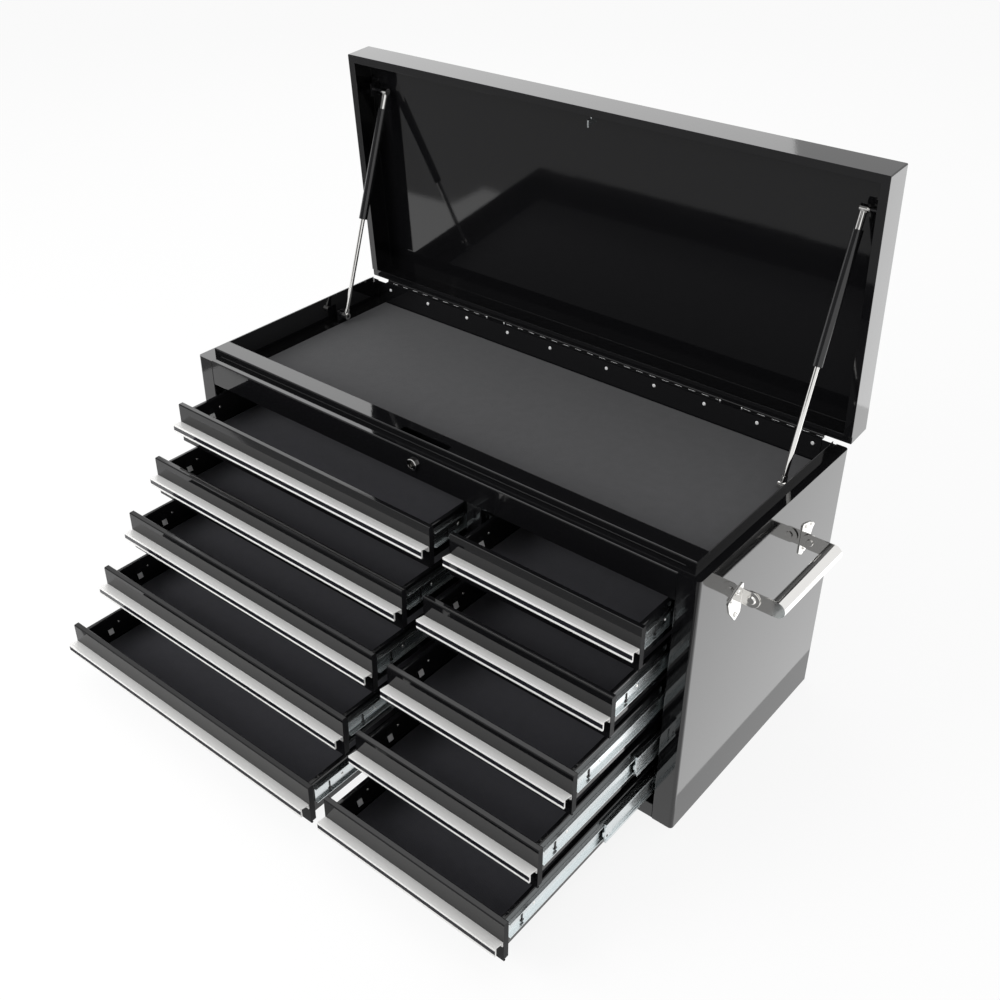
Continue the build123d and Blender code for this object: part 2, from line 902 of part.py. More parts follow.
def handle_brackets():
    """Leaf-shaped plates on the case sides, each with an ear beside a handle's arm."""
    z = handle_pivot_height
    with BuildPart() as brackets:
        for side in (-1, 1):
            for arm, outward in handle_arms():
                root = arm + outward * (handle_steel / 2 + running_gap)
                with BuildSketch(Plane.YZ.offset(side * half_width)):
                    with BuildLine():
                        Polyline(*leaf_points(root, outward, leaf_outline), close=True)
                    make_face()
                    fillet(vertices(), radius=leaf_corner)
                extrude(amount=side * leaf_steel)
                start = side * half_width
                ear_y = sorted((root, root + outward * leaf_steel))
                center = (side * (half_width + handle_pivot_out), z)
                with BuildSketch(Plane.XZ.offset(-ear_y[1])):
                    with Locations(center):
                        Circle(handle_half_height)
                    with Locations((start + side * handle_pivot_out / 2, z)):
                        Rectangle(handle_pivot_out, 2 * handle_half_height)
                    with Locations(center):
                        Circle(pivot_radius + pin_clearance, mode=Mode.SUBTRACT)
                extrude(amount=leaf_steel)
    return brackets


def handle_pivot_pins():
    """Headed pins through each ear and arm."""
    z = handle_pivot_height
    with BuildPart() as pins:
        for side in (-1, 1):
            for arm, outward in handle_arms():
                outer = arm + outward * (handle_steel / 2 + running_gap + leaf_steel)
                inner = arm - outward * (handle_steel / 2 + running_gap)
                axis = Plane(
                    origin=(side * (half_width + handle_pivot_out), outer, z),
                    z_dir=(0, outward, 0),
                )
                with BuildSketch(axis):
                    Circle(pivot_head_radius)
                extrude(amount=pivot_head, taper=pivot_head_slope)
                with BuildSketch(axis):
                    Circle(pivot_radius)
                extrude(amount=-abs(outer - inner))
                with BuildSketch(axis.offset(-abs(outer - inner))):
                    Circle(pivot_rivet_radius)
                extrude(amount=-pivot_rivet_head)
    return pins


def handle_screws():
    """Dome-headed screws on the leaf plates."""
    with BuildPart() as screws:
        for side in (-1, 1):
            for arm, outward in handle_arms():
                root = arm + outward * (handle_steel / 2 + running_gap)
                for point in leaf_points(root, outward, leaf_screws):
                    head = Plane(origin=(side * (half_width + leaf_steel), *point), z_dir=(side, 0, 0))
                    with BuildSketch(head):
                        Circle(screw_head_radius)
                    extrude(amount=screw_head, taper=screw_head_slope)
    return screws


def lift_handle(side):
    """Two arms joined by a rolled grip that is open along its inner side."""
    z = handle_pivot_height
    pivot_x = side * (half_width + handle_pivot_out)
    grip_x = side * (half_width + handle_reach)
    arms = handle_arms()
    with BuildPart() as handle:
        for arm, _ in arms:
            with BuildSketch(Plane.XZ.offset(-arm - handle_steel / 2)):
                with Locations(((pivot_x + grip_x) / 2, z)):
                    SlotCenterToCenter(abs(grip_x - pivot_x), 2 * handle_half_height)
                with Locations((pivot_x, z)):
                    Circle(pivot_radius + pin_clearance, mode=Mode.SUBTRACT)
            extrude(amount=handle_steel)
        with BuildSketch(Plane.XZ.offset(-arms[1][0])):
            with Locations((grip_x, z)):
                Circle(handle_half_height)
                Circle(handle_half_height - grip_wall, mode=Mode.SUBTRACT)
            with Locations((grip_x - side * handle_half_height, z)):
                Rectangle(handle_half_height, grip_slot, mode=Mode.SUBTRACT)
        extrude(amount=arms[1][0] - arms[0][0])
    return handle


# Every piece, written to its own file

os.makedirs("parts", exist_ok=True)
sides = {"left": -1, "right": 1}
banks = {"left": left_bank_open, "right": right_bank_open}

for name, side in sides.items():
    write(side_panel(side), f"{name}_side_panel")
    write(strut_rod(side), f"{name}_strut_rod")
    write(strut_cylinder(side), f"{name}_strut_cylinder")
    write(lift_handle(side), f"{name}_handle")

write(back_panel(), "back_panel")
write(base_pan(), "base_pan")
write(front_top_panel(), "front_top_panel")
write(center_divider(), "center_divider")
write(slide_support_panels(), "slide_support_panels")
write(tray_pan(), "tray_pan")
write(tray_mat(), "tray_mat")
write(case_slide_rails(), "case_slide_rails")
write(hinge_case_leaf(), "hinge_case_leaf")
write(hinge_lid_leaf(), "hinge_lid_leaf")
write(hinge_pin(), "hinge_pin")
write(hinge_rivet_row(), "hinge_rivets")
write(lid_shell(), "lid_shell")
write(lid_catch(), "lid_catch")
write(strut_case_brackets(), "strut_case_brackets")
write(strut_lid_brackets(), "strut_lid_brackets")
write(lock_housing(), "lock_housing")
write(lock_core(), "lock_core")
write(handle_brackets(), "handle_brackets")
write(handle_screws(), "handle_screws")
write(handle_pivot_pins(), "handle_pivot_pins")

for bank, openings in banks.items():
    for row, out in enumerate(openings):
        number = row + 1
        shift = max(out - inner_stage_travel, 0)
        write(drawer(bank, row, out), f"drawer_{bank}_{number}")
        write(pull(bank, row, out), f"pull_{bank}_{number}")
        write(slide_middle(bank, row, shift), f"slide_middle_{bank}_{number}")
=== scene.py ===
import json
from math import cos, radians, sin

import bmesh
import bpy
from bpy.props import FloatProperty, FloatVectorProperty, PointerProperty
from mathutils import Matrix, Vector


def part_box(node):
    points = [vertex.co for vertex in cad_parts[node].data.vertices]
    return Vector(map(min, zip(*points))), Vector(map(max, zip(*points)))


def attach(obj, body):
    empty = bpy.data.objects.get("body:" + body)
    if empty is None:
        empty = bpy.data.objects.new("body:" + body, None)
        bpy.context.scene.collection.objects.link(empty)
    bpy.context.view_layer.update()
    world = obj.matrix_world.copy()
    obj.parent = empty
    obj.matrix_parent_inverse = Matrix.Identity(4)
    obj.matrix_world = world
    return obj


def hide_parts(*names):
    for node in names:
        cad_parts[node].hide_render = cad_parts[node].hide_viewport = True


bl_info = {
    "name": "Steel Tool Chest",
    "version": (1, 0, 0),
    "blender": (4, 5, 0),
    "location": "3D View > Sidebar > Tool Chest",
    "description": "Dresses a jointed tool chest: paint, slides, pulls, mats, hinge, struts and handles",
    "category": "Object",
}

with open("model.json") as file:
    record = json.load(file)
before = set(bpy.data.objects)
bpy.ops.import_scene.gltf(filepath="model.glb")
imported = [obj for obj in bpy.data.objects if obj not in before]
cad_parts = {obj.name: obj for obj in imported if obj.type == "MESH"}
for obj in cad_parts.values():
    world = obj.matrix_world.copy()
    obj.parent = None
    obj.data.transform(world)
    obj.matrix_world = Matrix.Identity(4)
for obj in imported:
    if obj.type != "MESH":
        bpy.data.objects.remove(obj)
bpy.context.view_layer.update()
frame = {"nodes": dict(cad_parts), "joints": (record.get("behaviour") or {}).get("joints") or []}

BANKS = ("left", "right")
ROWS = range(1, 6)
MATERIALS = {}

# Packed sizes of the chest that the pieces below fit, in metres

SHEET = 0.001
SEAT = 0.00005
FRONT_DEPTH = 0.010
BOX_DEPTH = 0.410
BOX_LIFT = 0.0036
RAIL_SHEET = 0.0012
RAIL_REACH = 0.0055 + SEAT
RAIL_DROP = 0.0375
RAIL_SETBACK = 0.020
MIDDLE_INSET = 0.0031
MIDDLE_LIP = 0.0045
CASE_HEIGHT = 0.480
KNUCKLE_RADIUS = 0.0024
MAT_SEAT = 0.0003
INSERT_DROP = 0.008
HINGE_PLATES = ((-0.221, -0.173), (0.285, 0.332))
CYLINDER_CAP = 0.0425

# Edges: angles in degrees, and the steps of a rounded corner

SMOOTH_ANGLE = 35
BEVEL_ANGLE = 40
CORNER_STEPS = 4

# Small fittings, in metres. Pairs in a profile are along or inwards, then up from the slide's middle

RAIL_EDGE = 0.0002
FINE_EDGE = 0.0003
MAT_EDGE = 0.0008
CLIP_PROFILE = ((0.0, -0.0045), (0.0012, -0.0040), (0.0046, -0.0135), (0.0036, -0.0145))
CLIP_LENGTH = 0.010
WINDOW = ((0.0, -0.0038), (0.009, 0.0068))
WINDOW_CORNER = 0.0015
WINDOW_RELIEF = 0.0003
WALL_RIVET = (0.025, 0.001)
LEVER_BAR = ((0.0, -0.0105), (0.0016, 0.006))
LEVER_FOOT = ((-0.0022, -0.0105), (0.0038, -0.0075))
LEVER_RELIEF = 0.0016
RIVET_RELIEF = 0.0011
INSERT_END = 0.0004
INSERT_FACE = 0.0008
COLLAR_GAP = 0.0004
COLLAR_SHEET = 0.0012
COLLAR_CORNER = 0.0035
COLLAR_TAB = ((-0.0045, -0.004), (0.004, 0.005))
COLLAR_TAB_DEPTH = (0.0010, 0.0006)
COLLAR_TAB_CORNER = 0.0012
COLLAR_PIN = (0.0055, 0.006)
COLLAR_PIN_RADIUS = 0.0022
COLLAR_PIN_RELIEF = 0.0006
PLATE_GAP = 0.0006
PLATE_LIFT = 0.0005
PLATE_HEIGHT = 0.0030
PLATE_CORNER = 0.0008
PLATE_RIVET_INSET = 0.003
PLATE_RIVET_LIFT = 0.0016
PLATE_RIVET = (0.0015, 0.0008)

# Camera of the photograph, whose image is 1000 pixels wide and high

PHOTO = 1000
SENSOR = 36.0
CAMERA_AZIMUTH = 39.946
CAMERA_ELEVATION = 32.295
CAMERA_ROLL = -0.19
CAMERA_PLACE = (1.12175, -1.40859, 1.49218)
FOCAL_PIXELS = 1223.6
CENTRE_PIXEL = (475.8, 461.6)
CAMERA_CLIP = (0.05, 50)

# Stage. A lamp is its name, place, target, width, height, power, and whether gloss mirrors it

FLOOR_WHITE = 0.88
FLOOR_COLOUR = (0.95, 0.95, 0.95, 1)
FLOOR_REACH = 12.0
FLOOR_LEVEL = -0.0004
ROOM_LIGHT = 0.6
LAMPS = (
    ("overhead_softbox", (0.0, 0.4, 3.2), (0, 0, 0.3), 4.0, 3.0, 25, True),
    ("rear_softbox", (-2.5, 2.7, 2.3), (0, 0, 0.6), 2.9, 1.2, 13, True),
    ("near_card", (1.25, 0.5, 0.001), (1.25, 0.5, 1.0), 1.4, 1.4, 4.6, True),
    ("far_card", (1.35, 2.4, 0.001), (1.35, 2.4, 1.0), 1.8, 2.4, 20, True),
    ("front_softbox", (-1.6, -2.6, 1.9), (0, -0.1, 0.4), 2.2, 1.6, 75, False),
)
CLOTH_LEVEL = 0.0002
DARK_CLOTH = (
    (-0.4, -0.6),
    (-0.75, -0.7),
    (-1.0, -0.77),
    (-1.21, -0.79),
    (-1.23, -0.66),
    (-3.0, -0.6),
    (-3.0, -4.0),
    (1.5, -4.0),
    (1.5, -0.6),
)
DARK_SCREEN = ((-7.0, -3.4, 1.0), (1.5, -3.4, 1.0), (1.5, -3.4, 6.5), (-7.0, -3.4, 6.5))


# Settings that a user would change


def length(name, description, default):
    return FloatProperty(
        name=name, description=description, default=default, subtype="DISTANCE", unit="LENGTH"
    )


def colour(name, description, default):
    return FloatVectorProperty(
        name=name, description=description, default=default, size=3, min=0, max=1, subtype="COLOR"
    )


class ChestFinish(bpy.types.PropertyGroup):
    """Colours and gloss of the chest's surfaces."""

    paint: colour("Paint", "Powder coat on the case, lid and drawers", (0.0045, 0.0045, 0.005))
    tray_foam: colour("Tray mat", "Foam mat in the tray", (0.054, 0.054, 0.057))
    drawer_foam: colour("Drawer mats", "Foam mats in the drawers", (0.046, 0.046, 0.054))
    zinc: colour("Zinc", "Plating on the slides", (0.74, 0.78, 0.79))
    aluminium: colour("Aluminium", "Pull rails", (0.92, 0.915, 0.90))
    steel: colour("Polished steel", "Handles, screws and strut ends", (0.80, 0.79, 0.77))
    insert: colour("Pull insert", "Dark strip in each pull rail", (0.012, 0.012, 0.016))


class ChestSizes(bpy.types.PropertyGroup):
    """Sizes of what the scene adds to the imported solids."""

    edge: length("Edge", "Rounding of the cut sheet edges", 0.00035)
    mat_thickness: length("Drawer mat", "Thickness of the foam mats in the drawers", 0.003)
    mat_gap: length("Mat gap", "Gap between a drawer mat and the drawer's walls", 0.0015)
    insert_height: length("Insert height", "Height of the dark strip in a pull rail", 0.0078)
    insert_depth: length("Insert depth", "Thickness of the dark strip in a pull rail", 0.0006)
    clip_back: length("Clip setback", "From a drawer box's front to the clips in its walls", 0.044)
    lever_back: length("Lever setback", "From a slide's front end to its release lever", 0.030)
    rivet_back: length("Rivet setback", "From a slide's front end to its rivet", 0.058)
    rivet_radius: length("Rivet radius", "Radius of the small rivet heads", 0.0026)
    collar_length: length("Collar length", "Length of the plate at the front of a middle rail", 0.018)
    plate_relief: length("Hinge plate", "Thickness of the two cover plates on the hinge", 0.0008)


# Node trees


def link(tree, start, end):
    tree.links.new(start, end)


def add(tree, kind, **values):
    """A node whose named inputs or properties are set from the values."""
    node = tree.nodes.new(kind)
    for key, value in values.items():
        if key in node.inputs:
            node.inputs[key].default_value = value
        else:
            setattr(node, key, value)
    return node


def socket(tree, name, direction, kind="NodeSocketFloat", default=None):
    made = tree.interface.new_socket(name=name, in_out=direction, socket_type=kind)
    if default is not None:
        made.default_value = default


def shader_group(name, inputs, outputs):
    group = bpy.data.node_groups.new(name, "ShaderNodeTree")
    for key, default in inputs.items():
        socket(group, key, "INPUT", "NodeSocketFloat", default)
    for key in outputs:
        socket(group, key, "OUTPUT")
    return group, group.nodes.new("NodeGroupInput"), group.nodes.new("NodeGroupOutput")


def spread(group, value, low, high):
    """Maps a noise value to the range from low to high."""
    node = add(group, "ShaderNodeMapRange", clamp=True)
    node.inputs["From Min"].default_value = 0.3
    node.inputs["From Max"].default_value = 0.7
    link(group, value, node.inputs["Value"])
    for key, limit in (("To Min", low), ("To Max", high)):
        if isinstance(limit, bpy.types.NodeSocket):
            link(group, limit, node.inputs[key])
        else:
            node.inputs[key].default_value = limit
    return node.outputs["Result"]


def coat_texture():
    """Powder coat: the peel's height, and a gloss that changes a little over each panel."""
    group, given, out = shader_group(
        "coat_texture", {"Peel Scale": 420.0, "Gloss": 0.05, "Haze": 0.09}, ("Height", "Roughness")
    )
    place = add(group, "ShaderNodeTexCoord")
    peel = add(group, "ShaderNodeTexNoise", Detail=2.0, Roughness=0.45)
    link(group, place.outputs["Object"], peel.inputs["Vector"])
    link(group, given.outputs["Peel Scale"], peel.inputs["Scale"])
    haze = add(group, "ShaderNodeTexNoise", Scale=9.0, Detail=4.0)
    link(group, place.outputs["Object"], haze.inputs["Vector"])
    link(group, peel.outputs["Fac"], out.inputs["Height"])
    gloss = spread(group, haze.outputs["Fac"], given.outputs["Gloss"], given.outputs["Haze"])
    link(group, gloss, out.inputs["Roughness"])
    return group


def drawn_texture():
    """Drawn or rolled metal: fine lines along one axis, as a mask and a roughness."""
    group, given, out = shader_group(
        "drawn_texture",
        {"Across X": 900.0, "Across Y": 900.0, "Across Z": 900.0, "Smooth": 0.2, "Rough": 0.35},
        ("Lines", "Roughness"),
    )
    place = add(group, "ShaderNodeTexCoord")
    stretch = add(group, "ShaderNodeCombineXYZ")
    for axis in "XYZ":
        link(group, given.outputs[f"Across {axis}"], stretch.inputs[axis])
    drawn = add(group, "ShaderNodeVectorMath", operation="MULTIPLY")
    link(group, place.outputs["Object"], drawn.inputs[0])
    link(group, stretch.outputs["Vector"], drawn.inputs[1])
    lines = add(group, "ShaderNodeTexNoise", Scale=1.0, Detail=3.0, Roughness=0.6)
    link(group, drawn.outputs["Vector"], lines.inputs["Vector"])
    link(group, lines.outputs["Fac"], out.inputs["Lines"])
    gloss = spread(group, lines.outputs["Fac"], given.outputs["Smooth"], given.outputs["Rough"])
    link(group, gloss, out.inputs["Roughness"])
    return group


def foam_texture():
    """Closed-cell foam: the height of its cells, and a mask of paler and darker patches."""
    group, given, out = shader_group("foam_texture", {"Cell Scale": 900.0}, ("Height", "Patch"))
    place = add(group, "ShaderNodeTexCoord")
    cells = add(group, "ShaderNodeTexVoronoi", feature="F1", distance="EUCLIDEAN")
    link(group, place.outputs["Object"], cells.inputs["Vector"])
    link(group, given.outputs["Cell Scale"], cells.inputs["Scale"])
    patch = add(group, "ShaderNodeTexNoise", Scale=60.0, Detail=6.0, Roughness=0.7)
    link(group, place.outputs["Object"], patch.inputs["Vector"])
    link(group, cells.outputs["Distance"], out.inputs["Height"])
    link(group, patch.outputs["Fac"], out.inputs["Patch"])
    return group


def group_node(material, group_name, maker, **inputs):
    group = bpy.data.node_groups.get(group_name) or maker()
    node = material.node_tree.nodes.new("ShaderNodeGroup")
    node.node_tree = group
    for key, value in inputs.items():
        node.inputs[key.replace("_", " ")].default_value = value
    return node


def new_material(name, **surface):
    """A material with one Principled surface, whose even values are set on its own sockets."""
    material = bpy.data.materials.new(name)
    material.use_nodes = True
    shader = material.node_tree.nodes["Principled BSDF"]
    for key, value in surface.items():
        shader.inputs[key.replace("_", " ")].default_value = value
    return material, shader


def shade_between(material, mask, shader, dark, light):
    """Lets a mask choose between two shades of the base colour."""
    tree = material.node_tree
    mix = add(tree, "ShaderNodeMix", data_type="RGBA")
    ends = {s.name: s for s in mix.inputs if s.type == "RGBA"}
    ends["A"].default_value = (*dark, 1)
    ends["B"].default_value = (*light, 1)
    link(tree, mask, mix.inputs["Factor"])
    result = next(s for s in mix.outputs if s.type == "RGBA")
    link(tree, result, shader.inputs["Base Color"])


def add_bump(material, shader, height, strength, distance):
    bump = add(material.node_tree, "ShaderNodeBump", Strength=strength, Distance=distance)
    link(material.node_tree, height, bump.inputs["Height"])
    link(material.node_tree, bump.outputs["Normal"], shader.inputs["Normal"])


def scaled(colour_value, factor):
    return tuple(min(1.0, c * factor) for c in colour_value)


def paint_material(name, shade, gloss, haze, peel, ior=1.6):
    material, shader = new_material(name, IOR=ior)
    texture = group_node(material, "coat_texture", coat_texture, Gloss=gloss, Haze=haze)
    tree = material.node_tree
    link(tree, texture.outputs["Roughness"], shader.inputs["Roughness"])
    shade_between(material, texture.outputs["Height"], shader, scaled(shade, 0.8), scaled(shade, 1.25))
    add_bump(material, shader, texture.outputs["Height"], peel, 0.0004)
    return material


def metal_material(name, shade, smooth, rough, along, relief=0.05, metallic=1.0):
    """A metal drawn along one axis: 0, 1 or 2 for X, Y or Z."""
    material, shader = new_material(name, Metallic=metallic)
    across = [1600.0, 1600.0, 1600.0]
    across[along] = 10.0
    texture = group_node(
        material,
        "drawn_texture",
        drawn_texture,
        Across_X=across[0],
        Across_Y=across[1],
        Across_Z=across[2],
        Smooth=smooth,
        Rough=rough,
    )
    tree = material.node_tree
    link(tree, texture.outputs["Roughness"], shader.inputs["Roughness"])
    shade_between(material, texture.outputs["Lines"], shader, scaled(shade, 0.94), scaled(shade, 1.05))
    add_bump(material, shader, texture.outputs["Lines"], relief, 0.0002)
    return material


def foam_material(name, shade, cells):
    material, shader = new_material(name, Roughness=0.9, Sheen_Weight=0.15, Sheen_Roughness=0.6)
    shader.inputs["Specular IOR Level"].default_value = 0.2
    texture = group_node(material, "foam_texture", foam_texture, Cell_Scale=cells)
    shade_between(material, texture.outputs["Patch"], shader, scaled(shade, 0.82), scaled(shade, 1.2))
    add_bump(material, shader, texture.outputs["Height"], 0.6, 0.0004)
    return material


def make_materials():
    finish = bpy.context.scene.chest_finish
    return {
        "paint": paint_material("gloss_black_paint", finish.paint, 0.035, 0.07, 0.03),
        # Same gloss paint with a lower IOR for the drawer boxes and fronts: a shaded copy, painted shade
        # that keeps their reflections darker than the lid's
        "front": paint_material("black_front_shaded", finish.paint, 0.035, 0.07, 0.03, ior=1.45),
        "steel_black": paint_material("satin_black_steel", scaled(finish.paint, 2.0), 0.16, 0.28, 0.08),
        "cylinder": paint_material("strut_cylinder_black", scaled(finish.paint, 1.5), 0.08, 0.14, 0.02),
        # Rough black with a very low IOR, for the end faces of the drawer fronts: painted shade standing
        # in for the dark inside of each front's open end
        "end_shade": paint_material("painted_shade_ends", scaled(finish.paint, 2.0), 0.4, 0.5, 0.05, 1.2),
        "insert": paint_material("pull_insert_black", finish.insert, 0.05, 0.1, 0.01),
        "foam": foam_material("tray_foam", finish.tray_foam, 900.0),
        "drawer_foam": foam_material("drawer_foam", finish.drawer_foam, 900.0),
        "zinc": metal_material("zinc_plate", finish.zinc, 0.22, 0.28, 1, 0.004),
        "aluminium": metal_material("drawn_aluminium", finish.aluminium, 0.42, 0.55, 0, 0.02, 0.3),
        "steel": metal_material("polished_steel", finish.steel, 0.07, 0.16, 1, 0.03),
        "rod": metal_material("ground_rod", finish.steel, 0.05, 0.1, 0, 0.02),
        "bright": metal_material("bright_rivet", scaled(finish.steel, 1.12), 0.12, 0.2, 0, 0.02),
        "rivet": metal_material("white_rivet", (0.95, 0.95, 0.95), 0.35, 0.5, 0, 0.02, 0.35),
    }


def material(name):
    if not MATERIALS:
        MATERIALS.update(make_materials())
    return MATERIALS[name]


# Mesh helpers


def new_object(bm, name):
    """Turns a bmesh into an object of the scene."""
    mesh = bpy.data.meshes.new(name)
    bm.to_mesh(mesh)
    bm.free()
    made = bpy.data.objects.new(name, mesh)
    bpy.context.scene.collection.objects.link(made)
    return made


def finish_mesh(bm, name, finish_name, edge=None):
    """Makes a piece with rounded edges, shaded smooth except across sharp ones."""
    bmesh.ops.recalc_face_normals(bm, faces=bm.faces)
    for face in bm.faces:
        face.smooth = True
    for fold in bm.edges:
        fold.smooth = fold.is_manifold and fold.calc_face_angle(0) < radians(SMOOTH_ANGLE)
    piece = new_object(bm, name)
    piece.data.materials.append(material(finish_name))
    if edge:
        round_edges(piece, edge)
    even = piece.modifiers.new("even", "WEIGHTED_NORMAL")
    even.keep_sharp = True
    return piece


def round_edges(piece, width):
    modifier = piece.modifiers.new("edges", "BEVEL")
    modifier.width = width
    modifier.segments = 2
    modifier.limit_method = "ANGLE"
    modifier.angle_limit = radians(BEVEL_ANGLE)


def node_bmesh(node):
    """A merged copy of a CAD node, with its flat faces joined again."""
    bm = bmesh.new()
    bm.from_mesh(frame["nodes"][node].data)
    bmesh.ops.remove_doubles(bm, verts=bm.verts, dist=2e-6)
    bmesh.ops.dissolve_limit(bm, angle_limit=radians(0.5), verts=bm.verts, edges=bm.edges)
    return bm


def islands(bm):
    """The mesh's separate solids, as lists of vertices."""
    left = set(bm.verts)
    found = []
    while left:
        seed = left.pop()
        group = [seed]
        queue = [seed]
        while queue:
            for edge in queue.pop().link_edges:
                for vert in edge.verts:
                    if vert in left:
                        left.discard(vert)
                        group.append(vert)
                        queue.append(vert)
        found.append(group)
    return found


def box_part(bm, low, high):
    """Adds a box between two corners."""
    low = Vector(low)
    high = Vector(high)
    made = bmesh.ops.create_cube(bm, size=1.0)["verts"]
    bmesh.ops.scale(bm, verts=made, vec=high - low)
    bmesh.ops.translate(bm, verts=made, vec=(low + high) / 2)


def prism(bm, outline, axis, start, end):
    """Adds a prism along an axis, 0, 1 or 2, over an outline given in the other two."""
    rings = []
    for level in (start, end):
        places = [list(point) for point in outline]
        for place in places:
            place.insert(axis, level)
        rings.append([bm.verts.new(place) for place in places])
    bm.faces.new(rings[0])
    bm.faces.new(reversed(rings[1]))
    for index in range(len(outline)):
        after = (index + 1) % len(outline)
        bm.faces.new((rings[0][index], rings[1][index], rings[1][after], rings[0][after]))


def rounded(low, high, radius):
    """Outline of a rectangle with rounded corners."""
    corners = ((high[0], high[1], 0), (low[0], high[1], 90), (low[0], low[1], 180), (high[0], low[1], 270))
    points = []
    for x, y, start in corners:
        centre_x = x - radius if x == high[0] else x + radius
        centre_y = y - radius if y == high[1] else y + radius
        for step in range(CORNER_STEPS + 1):
            angle = radians(start + 90 * step / CORNER_STEPS)
            points.append((centre_x + radius * cos(angle), centre_y + radius * sin(angle)))
    return points


def dress_node(node, name, finish_name, body, edge=None):
    """Stands a merged, smoothly shaded copy in for a CAD node."""
    piece = finish_mesh(node_bmesh(node), name, finish_name, edge)
    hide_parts(node)
    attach(piece, body)
    return piece


# Repeated heads, made with geometry nodes


def head_tree():
    """Sets a domed head on each vertex of the piece, turned as its turn attribute says."""
    existing = bpy.data.node_groups.get("domed_heads")
    if existing:
        return existing
    tree = bpy.data.node_groups.new("domed_heads", "GeometryNodeTree")
    socket(tree, "Geometry", "INPUT", "NodeSocketGeometry")
    socket(tree, "Radius", "INPUT", "NodeSocketFloat", 0.003)
    socket(tree, "Height", "INPUT", "NodeSocketFloat", 0.0015)
    socket(tree, "Material", "INPUT", "NodeSocketMaterial")
    socket(tree, "Geometry", "OUTPUT", "NodeSocketGeometry")
    given = tree.nodes.new("NodeGroupInput")
    out = tree.nodes.new("NodeGroupOutput")
    ball = add(tree, "GeometryNodeMeshUVSphere", Segments=20, Rings=10)
    ball.inputs["Radius"].default_value = 1.0
    cut = add(tree, "GeometryNodeDeleteGeometry", domain="FACE")
    place = add(tree, "GeometryNodeInputPosition")
    split = add(tree, "ShaderNodeSeparateXYZ")
    below = add(tree, "FunctionNodeCompare", data_type="FLOAT", operation="LESS_THAN")
    below.inputs["B"].default_value = -0.01
    link(tree, place.outputs["Position"], split.inputs["Vector"])
    link(tree, split.outputs["Z"], below.inputs["A"])
    link(tree, ball.outputs["Mesh"], cut.inputs["Geometry"])
    link(tree, below.outputs["Result"], cut.inputs["Selection"])
    size = add(tree, "ShaderNodeCombineXYZ")
    link(tree, given.outputs["Radius"], size.inputs["X"])
    link(tree, given.outputs["Radius"], size.inputs["Y"])
    link(tree, given.outputs["Height"], size.inputs["Z"])
    turn = add(tree, "GeometryNodeInputNamedAttribute", data_type="FLOAT_VECTOR")
    turn.inputs["Name"].default_value = "turn"
    spots = add(tree, "GeometryNodeMeshToPoints", mode="VERTICES")
    copies = add(tree, "GeometryNodeInstanceOnPoints")
    real = add(tree, "GeometryNodeRealizeInstances")
    coat = add(tree, "GeometryNodeSetMaterial")
    link(tree, given.outputs["Geometry"], spots.inputs["Mesh"])
    link(tree, spots.outputs["Points"], copies.inputs["Points"])
    link(tree, cut.outputs["Geometry"], copies.inputs["Instance"])
    link(tree, turn.outputs["Attribute"], copies.inputs["Rotation"])
    link(tree, size.outputs["Vector"], copies.inputs["Scale"])
    link(tree, copies.outputs["Instances"], real.inputs["Geometry"])
    link(tree, real.outputs["Geometry"], coat.inputs["Geometry"])
    link(tree, given.outputs["Material"], coat.inputs["Material"])
    link(tree, coat.outputs["Geometry"], out.inputs["Geometry"])
    return tree


def tree_piece(name, mesh, tree, values):
    """Runs a tree on a mesh and keeps the result as a plain mesh."""
    source = bpy.data.objects.new(name + "_source", mesh)
    bpy.context.scene.collection.objects.link(source)
    modifier = source.modifiers.new("build", "NODES")
    modifier.node_group = tree
    for item in tree.interface.items_tree:
        if item.in_out == "INPUT" and item.name in values:
            modifier[item.identifier] = values[item.name]
    depsgraph = bpy.context.evaluated_depsgraph_get()
    result = bpy.data.meshes.new_from_object(source.evaluated_get(depsgraph), depsgraph=depsgraph)
    bpy.data.objects.remove(source)
    result.name = name
    piece = bpy.data.objects.new(name, result)
    bpy.context.scene.collection.objects.link(piece)
    for face in result.polygons:
        face.use_smooth = True
    return piece


def heads(name, body, slot, finish_name, places, radius, height):
    """Domed heads at (point, direction) places, as one piece."""
    mesh = bpy.data.meshes.new(name + "_points")
    mesh.from_pydata([tuple(point) for point, _ in places], [], [])
    turns = mesh.attributes.new("turn", "FLOAT_VECTOR", "POINT")
    for index, (_, direction) in enumerate(places):
        turns.data[index].vector = Vector(direction).to_track_quat("Z", "Y").to_euler()
    values = {"Radius": radius, "Height": height, "Material": material(finish_name)}
    piece = tree_piece(name, mesh, head_tree(), values)
    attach(piece, body)


# Pieces


class Piece:
    """Runs the piece's build function as an operator."""

    bl_options = {"REGISTER", "UNDO"}

    def execute(self, context):
        self.build(context.scene.chest_sizes)
        return {"FINISHED"}

    def part(self, bm, name, finish_name, body, slot, edge=None):
        """Finishes a piece of the scene's own and lets it ride on a body."""
        piece = finish_mesh(bm, name, finish_name, edge)
        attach(piece, body)
        return piece


class CHEST_OT_case(Piece, bpy.types.Operator):
    """Painted case panels with rounded edges."""

    bl_idname = "chest.case"
    bl_label = "Case panels"

    def build(self, sizes):
        panels = (
            "left_side_panel",
            "right_side_panel",
            "back_panel",
            "base_pan",
            "front_top_panel",
            "center_divider",
            "slide_support_panels",
            "tray_pan",
        )
        for node in panels:
            dress_node(node, node + "_painted", "paint", "case", sizes.edge)


class CHEST_OT_lid(Piece, bpy.types.Operator):
    """Lid shell with its catch."""

    bl_idname = "chest.lid"
    bl_label = "Lid"

    def build(self, sizes):
        dress_node("lid_shell", "lid_shell_painted", "paint", "lid", sizes.edge)
        dress_node("lid_catch", "lid_catch_plated", "zinc", "lid", sizes.edge)


